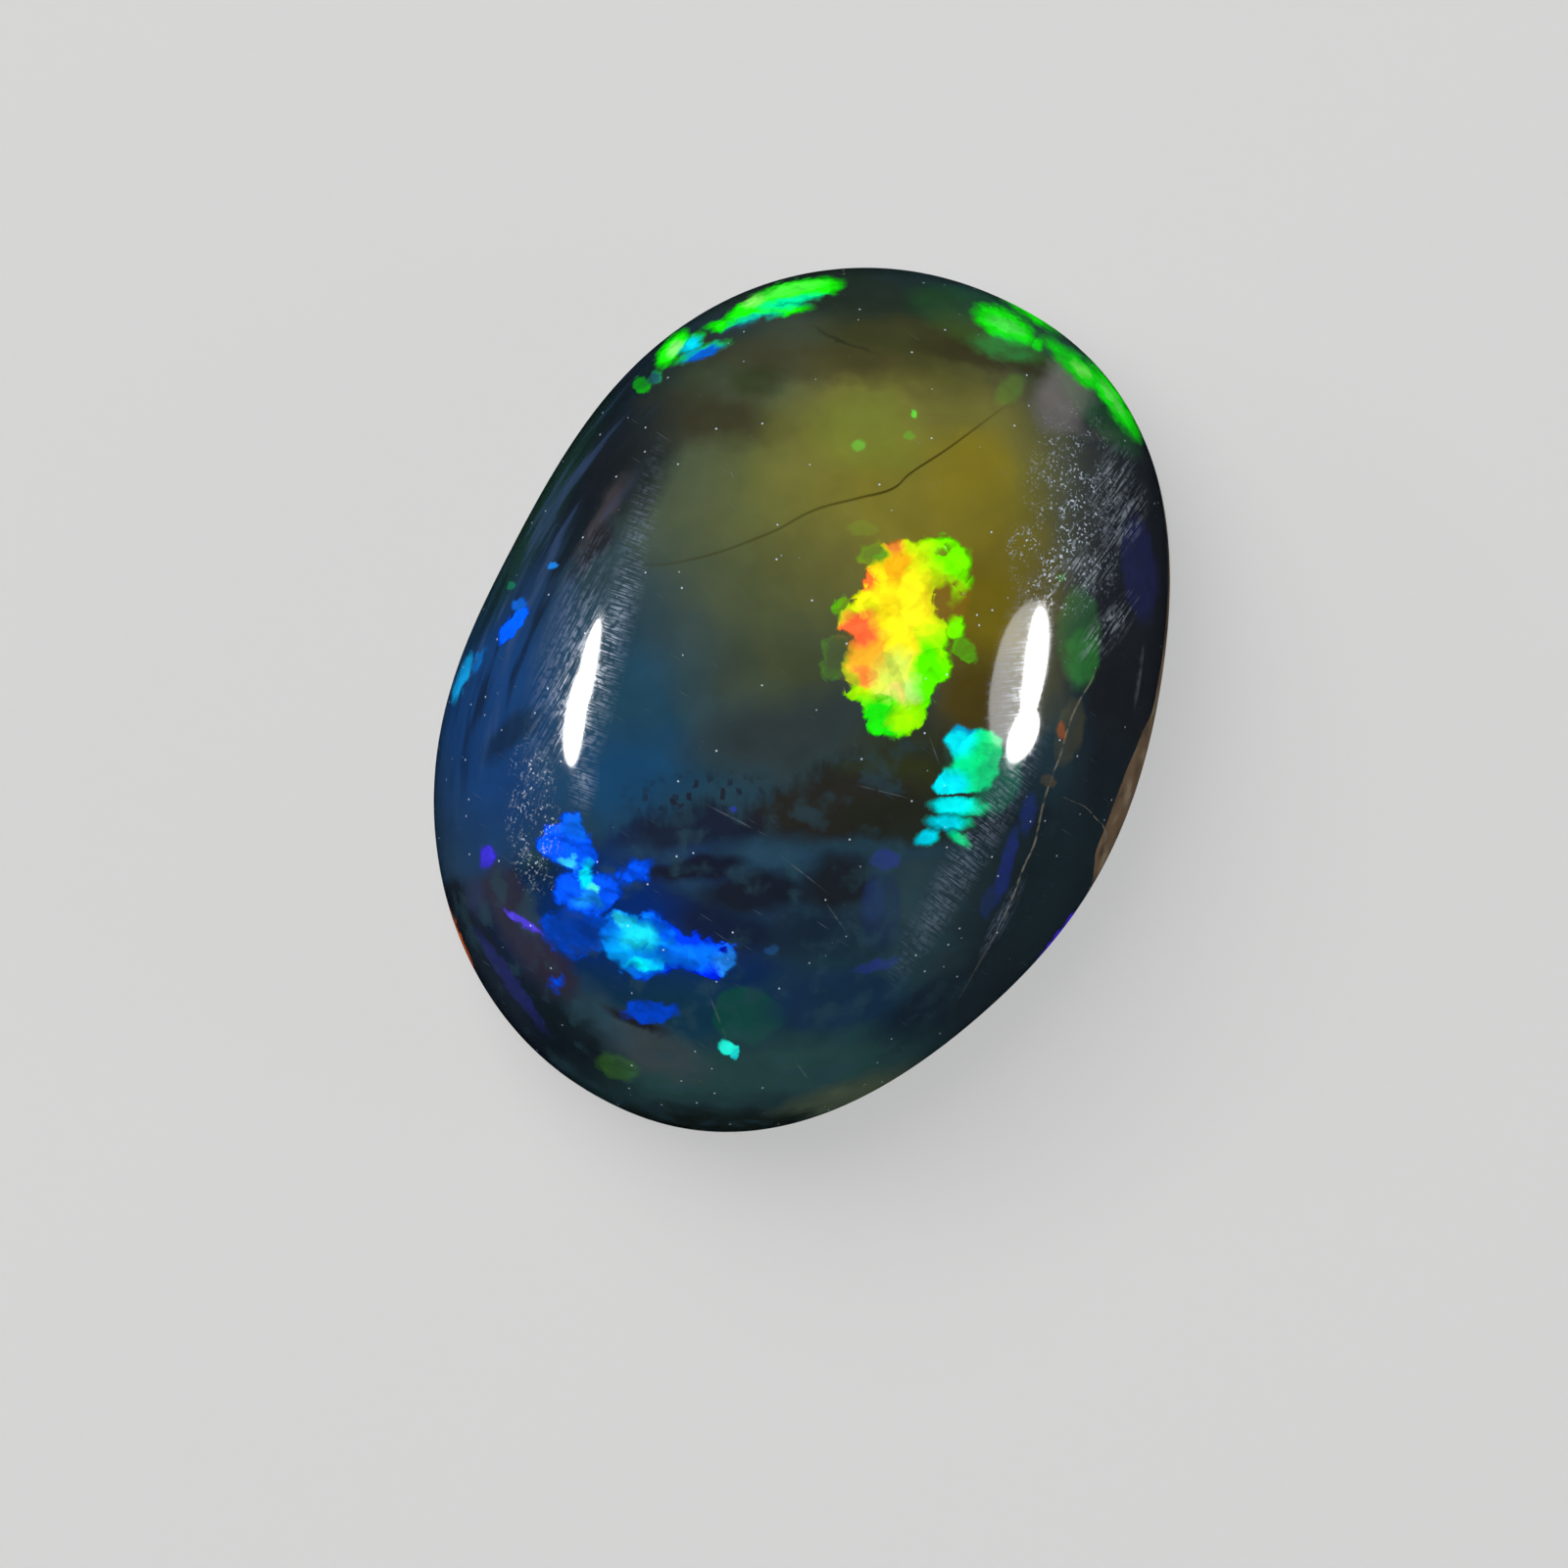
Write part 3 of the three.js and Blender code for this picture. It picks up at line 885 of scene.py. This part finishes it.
# The back is hidden in the photograph: broad dim flashes of the same colours
# They shine by themselves like the other flashes, as painted glow
backFlashes = {
    "below": 0.85,          # mm above the back where they begin to show
    "patchSize": 1.9,       # mm
    "colours": [(0.30, (10, 40, 120)), (0.45, (6, 110, 150)), (0.58, (20, 140, 60)), (0.72, (150, 120, 20))],
    "light": 0.55,
}


# How much of a line a place has, from 0 to the line's strength
def lineMask(along, across, line):
    offs = [off for at, off, share in line["line"]]
    middle = along.curve([(at, off) for at, off, share in line["line"]], min(offs), max(offs))
    shares = along.curve([(at, share) for at, off, share in line["line"]])
    off = across - middle
    off = off.maths("ABSOLUTE")
    return off.between(line["width"], line["width"] * 0.2, line["strength"]) * shares


# Round grains of one size: a dot in some of the cells
def grains(place, perMm, radius, share):
    values = {"Vector": place, "Scale": perMm}
    away = place.node("ShaderNodeTexVoronoi", {}, values)
    chance = away.also(1).split()[0]
    dot = away.between(radius * perMm, radius * perMm * 0.4)
    return dot * chance.maths("LESS_THAN", share)


# How the pattern's places wander: how often per mm, how far in mm, and the detail
wanders = {
    "soft": (2.2, 0.34, 3.0),
    "drifting": (0.5, 0.8, 1.0),
    "torn": (3.0, 0.36, 3.0),
    "fine": (6.0, 0.16, 2.0),
}
chipsPerMm, chipReach = 5.5, 0.08


def layPlaces(start):
    part = start.node("ShaderNodeTexCoord", {}, {}, 3).scaled(1 / mm)
    place = start.node(
        "ShaderNodeMapping", {"vector_type": "POINT"},
        {"Vector": part, "Rotation": toView.to_euler("XYZ"), "Location": -(toView @ seenMiddle) / mm})

    def wander(name):
        perMm, reach, detail = wanders[name]
        field = place.node("ShaderNodeTexNoise", {}, {"Vector": place, "Scale": perMm, "Detail": detail}, 1)
        return field.vector("SUBTRACT", (0.5, 0.5, 0.5)).scaled(reach)

    cells = place.node("ShaderNodeTexVoronoi", {}, {"Vector": place, "Scale": chipsPerMm}, 1)
    chips = cells.vector("SUBTRACT", (0.5, 0.5, 0.5))
    soft = place.vector("ADD", wander("soft"))
    drifting = soft.vector("ADD", wander("drifting"))
    torn = place.vector("ADD", wander("torn"))
    torn = torn.vector("ADD", chips.scaled(chipReach))
    fine = place.vector("ADD", wander("fine"))
    return {"part": part, "place": place, "soft": soft, "drifting": drifting, "torn": torn, "fine": fine,
            "chips": cells}


def paintBody(places):
    place, drifting = places["place"], places["drifting"]
    right, up, back = place.split()
    upper = layClouds(tone(*body["upperColour"]), drifting, upperClouds)
    lower = layClouds(tone(*body["lowerColour"]), places["soft"], lowerClouds)
    wisps = places["soft"].noise(0.50, 3.0).between(0.50, 0.70, body["wisps"])
    lower = layAll(lower, [(body["wispColour"], wisps)])

    # The border is broken into upright columns, with dark flakes above it
    step = (body["borderRight"] - body["borderLeft"]) / (len(body["border"]) - 1)
    points = [(body["borderLeft"] + i * step, height) for i, height in enumerate(body["border"])]
    edge = right.curve(points, -body["borderDrop"], 0)
    columns = (place.streaks(90, *body["columns"]) - 0.5) * body["columnReach"]
    patches = (place.noise(0.6, 3.0) - 0.5) * body["patchReach"]
    colour = layOver(upper, lower, (edge - up + columns + patches).between(-0.20, 0.24))
    flakes = places["fine"].vector("MULTIPLY", body["flakesPerMm"])
    flakes = place.node("ShaderNodeTexVoronoi", {"distance": "CHEBYCHEV"}, {"Vector": flakes, "Scale": 1.0})
    chosen = flakes.also(1).split()[0].between(0.52, 0.46)
    island = flakes.between(0.46, 0.30, 0.85) * chosen * zoneMask(place, [body["islands"]])
    colour = layAll(colour, [(body["islandColour"], island)])
    # painted shade on the right and lower-right walls
    colour = layClouds(colour, drifting, sideWallShade)
    return colour.scaled(1 + (drifting.noise(0.8, 3.0) - 0.5) * body["mottle"] * 2)


def paintRim(colour, places):
    place, part = places["place"], places["part"]
    layers = place.vector("MULTIPLY", rimStreaks["layersPerMm"]).noise(1.0)
    zone = zoneMask(place, [rimStreaks["zone"]])
    green = zoneMask(place, [rimStreaks["greenZone"]])
    colour = layAll(colour, [
        (rimStreaks["greenColour"], green * rimStreaks["greenShare"]),
        (rimStreaks["paleColour"], zone * layers.between(0.52, 0.70) * rimStreaks["paleShare"]),
        (rimStreaks["darkColour"], zone * layers.between(0.46, 0.32) * rimStreaks["darkShare"])])

    x, y, height = part.split()
    bearing = y.maths("ARCTAN2", x)
    highest = max(top for angle, top in hostRock["edge"])
    top = bearing.curve([(math.radians(angle), top) for angle, top in hostRock["edge"]], 0, highest)
    lumps = place.noise(hostRock["lumpSize"], 3.0)
    above = height - top + (lumps - 0.5) * hostRock["raggedness"]
    host = above.between(0.03, -0.03) * top.between(*hostRock["showsFrom"])
    tan = layAll(tone(*hostRock["colour"]), [
        (hostRock["darkColour"], lumps.between(0.5, 0.3)),
        (hostRock["paleColour"], lumps.between(0.52, 0.7))])
    return layOver(colour, tan, host), host


def paintFlashes(places):
    place = places["place"]
    glow = (0, 0, 0, 1)
    for group in flashes:
        mask, colour = growFlash(group, places[group["edges"]])
        degrees, strength = group["streaks"]
        dimmer = places["fine"].streaks(degrees, *play["streaks"], 1.0).between(0.56, 0.34, strength)
        glow = layOver(glow, colour, mask * (1 - dimmer))
    for spark in sparks.values():
        colour, bright, soft = spark[5:]
        glow = layCloud(glow, places["fine"], spark, colour, play["flashDepth"], soft, bright)
    folds = places["torn"].noise(play["foldSize"]).between(0.3, 0.7)
    return glow.scaled(play["least"] + play["chips"] * places["chips"].split()[1] + folds * play["folds"])


def paintOpal(material):
    tree = material.node_tree
    shader = tree.nodes["Principled BSDF"]
    places = layPlaces(Wire(tree))
    place, part = places["place"], places["part"]
    right, up, back = place.split()
    colour = paintBody(places)
    colour, host = paintRim(colour, places)
    cracked = lineMask(right, up, crack)
    broken = lineMask(-1 * up, right, fracture)
    broken = broken.maths("MAXIMUM", lineMask(-1 * up, right, branch))
    broken = broken * place.noise(0.16).between(0.3, 0.55)
    colour = layAll(colour, [(crack["colour"], cracked), (fracture["colour"], broken)])

    # The back's own flashes
    height = part.split()[2]
    patches = places["torn"].noise(backFlashes["patchSize"], 3.0)
    hues = part.noise(2.9, 1.0)
    stops = [(at, tone(*shade)) for at, shade in backFlashes["colours"]]
    hue = hues.node("ShaderNodeValToRGB", {"stops": stops}, {0: hues})
    under = height.between(backFlashes["below"], backFlashes["below"] - 0.4) * (1 - host)
    under = under * patches.between(0.54, 0.60) * backFlashes["light"]

    glow = layOver(paintFlashes(places), hue, under)
    presence = glow.vector("LENGTH", output=1)
    presence = presence.between(0, 0.45)
    colour = layOver(colour, glow, presence)

    # Worn polish, pits, scratches and dust, with painted highlight sheen on the brushed fields and painted
    # glints on the pits and hatching
    fine = places["fine"]
    brushedAndSheen = 0.0
    worn = place.noise(0.09, 1.0).between(0.25, 0.60)
    # The brushed strokes' silver colour is painted highlight sheen, laid next to the highlights
    for degrees, strength, zones in wear["brushingAndSheen"]:
        strokes = place.streaks(degrees, *wear["brushStrokes"], 1.0).between(0.36, 0.68, strength)
        brushedAndSheen = (strokes * zoneMask(place, zones, 1.0)).maths("MAXIMUM", brushedAndSheen)
    brushedAndSheen = brushedAndSheen * worn
    # The pits and the hatched strokes are painted pale: painted glints of the lamps in the worn polish; the
    # dust is real
    pitted = zoneMask(place, wear["pits"].values(), 0.6) * place.noise(0.3).between(0.36, 0.60)
    pits = place.noise(wear["pitSize"], 1.0).between(0.60, 0.68) * pitted
    nicks = fine.streaks(58, *wear["nickStrokes"], 1.0).between(0.60, 0.68) * pitted
    strokes = place.streaks(55, *wear["hatchStrokes"], 1.0).between(0.42, 0.66) * worn
    hatchedAndGlinting = zoneMask(place, wear["hatching"].values(), 0.5) * strokes
    hatchedAndGlinting = hatchedAndGlinting.maths("MAXIMUM", nicks)
    dust = grains(place, polish["dustPerMm"], polish["dustRadius"], polish["dustShare"])
    hairs = place.streaks(-33, *wear["hairStrokes"], 1.0).between(0.74, 0.84)
    scratched = zoneMask(place, scratches.values(), 0.6) * place.noise(0.16).between(0.3, 0.6)
    scratched = (scratched * wear["scratchShare"]).maths("MAXIMUM", hairs * wear["hairShare"])
    pitGlintsAndDust = pits.maths("MAXIMUM", dust)
    masks = {"brushedAndSheen": brushedAndSheen, "hatchedAndGlinting": hatchedAndGlinting, "scratched": scratched, "pitGlintsAndDust": pitGlintsAndDust}
    for name, (shade, share) in wear["colours"].items():
        colour = layOver(colour, tone(*shade), masks[name] * share)

    roughness = polish["roughness"] + brushedAndSheen * polish["brushedRoughness"]
    roughness = roughness + (pitGlintsAndDust + hatchedAndGlinting + broken) * polish["markRoughness"]
    roughness = roughness + host * hostRock["roughness"]

    tree.links.new(colour.socket, shader.inputs["Base Color"])
    # The flashes shine by themselves through emission: painted glow, with no lamp
    tree.links.new(glow.socket, shader.inputs["Emission Color"])
    tree.links.new(roughness.socket, shader.inputs["Roughness"])
    shader.inputs["Emission Strength"].default_value = play["glow"]
    shader.inputs["IOR"].default_value = polish["refraction"]
    material.cycles.emission_sampling = "NONE"


paintOpal(opal)
cabochon.visible_diffuse = False  # bounced light passes it by, which saves time; its shadow stays
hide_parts("opal_cabochon")
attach(cabochon, "root")
print("stone painted:", len(opal.node_tree.nodes), "nodes")

# The table and the light
studio = {
    "floorSize": 900,          # mm
    "floorColour": (222, 221, 218),
    "floorRoughness": 0.8,
    "ambient": 0.55,
    "ambientColour": (235, 238, 242),
    "keyRadiance": 3.0,        # the large soft light overhead, which mirrors in nothing
    "keySize": 420,            # mm
    "keyDistance": 520,        # mm
    "keySlant": 32,            # degrees from straight above
    "keySide": 130,            # the side it leans to in the photograph, in degrees round from right
}
# The lamps that show as highlights: where each mirrors on the stone, its width and length in mm, its
# radiance and its roll in degrees
highlights = {
    "leftLow": ((-3.61, -0.24), 33, 82, 45, 22),
    "leftTop": ((-3.42, 0.56), 24, 70, 45, 36),
    "rightPanel": ((3.31, 0.48), 100, 118, 8, 45),
    "rightTop": ((3.56, 0.60), 42, 100, 45, 26),
    "rightLow": ((3.34, -0.50), 36, 60, 45, 90),
}
highlightDistance = 260


def addObject(name, data):
    added = bpy.data.objects.new(name, data)
    bpy.context.scene.collection.objects.link(added)
    return added


def standLamp(name, shape, width, length, radiance, roll, spot, aim, distance):
    lamp = bpy.data.lights.new(name, "AREA")
    lamp.shape = shape
    lamp.size = width * mm
    lamp.size_y = length * mm
    area = lamp.size * lamp.size_y * (math.pi / 4 if shape == "ELLIPSE" else 1)
    lamp.energy = radiance * math.pi * area
    across = Vector((0, 0, 1)).cross(aim).normalized()   # level, along the table
    upright = aim.cross(across)
    long = across * math.cos(math.radians(roll)) + upright * math.sin(math.radians(roll))
    turned = Matrix((long.cross(aim), long, aim)).transposed().to_4x4()
    stand = addObject(name, lamp)
    stand.matrix_world = Matrix.Translation(spot + aim * distance * mm) @ turned
    stand.visible_camera = False
    return stand


for name, (mirroredAt, *form) in highlights.items():
    hit, normal = onStone(*mirroredAt)
    toCamera = (seenMiddle + seenBack * view["distance"] * mm - hit).normalized()
    aim = (2 * normal.dot(toCamera) * normal - toCamera).normalized()
    standLamp(name, "ELLIPSE", *form, hit, aim, highlightDistance).visible_diffuse = False

slant, side = math.radians(studio["keySlant"]), math.radians(studio["keySide"])
sideways = seenRight * math.cos(side) + seenUp * math.sin(side)
sideways.z = 0
keyAim = sideways.normalized() * math.sin(slant) + Vector((0, 0, 1)) * math.cos(slant)
key = standLamp(
    "key", "SQUARE", studio["keySize"], studio["keySize"], studio["keyRadiance"], 0, seenMiddle, keyAim,
    studio["keyDistance"])
key.visible_glossy = False


def layFloor():
    half = studio["floorSize"] * mm / 2
    mesh = bpy.data.meshes.new("table")
    corners = [(-half, -half, 0), (half, -half, 0), (half, half, 0), (-half, half, 0)]
    mesh.from_pydata(corners, [], [(0, 1, 2, 3)])
    floor = addObject("table", mesh)
    material = bpy.data.materials.new("tableCard")
    material.use_nodes = True
    shader = material.node_tree.nodes["Principled BSDF"]
    shader.inputs["Base Color"].default_value = tone(*studio["floorColour"])
    shader.inputs["Roughness"].default_value = studio["floorRoughness"]
    mesh.materials.append(material)
    floor.visible_glossy = False


def lightRoom():
    world = bpy.data.worlds.new("room")
    bpy.context.scene.world = world
    world.use_nodes = True
    background = world.node_tree.nodes["Background"]
    background.inputs["Color"].default_value = tone(*studio["ambientColour"])
    background.inputs["Strength"].default_value = studio["ambient"]
    world.cycles_visibility.glossy = False


def placeCamera():
    data = bpy.data.cameras.new("camera")
    camera = addObject("camera", data)
    data.sensor_width = 36
    data.lens = data.sensor_width * view["distance"] / view["frameWidth"]
    data.clip_start = 0.01
    data.clip_end = 10
    right, up = view["middleInFrame"]
    aim = seenMiddle - (seenRight * right + seenUp * up) * mm
    camera.matrix_world = Matrix.Translation(aim + seenBack * view["distance"] * mm) @ toPart.to_4x4()
    bpy.context.scene.camera = camera


layFloor()
lightRoom()
placeCamera()
bpy.context.scene.view_settings.view_transform = "Standard"
print("table, lights and camera set")
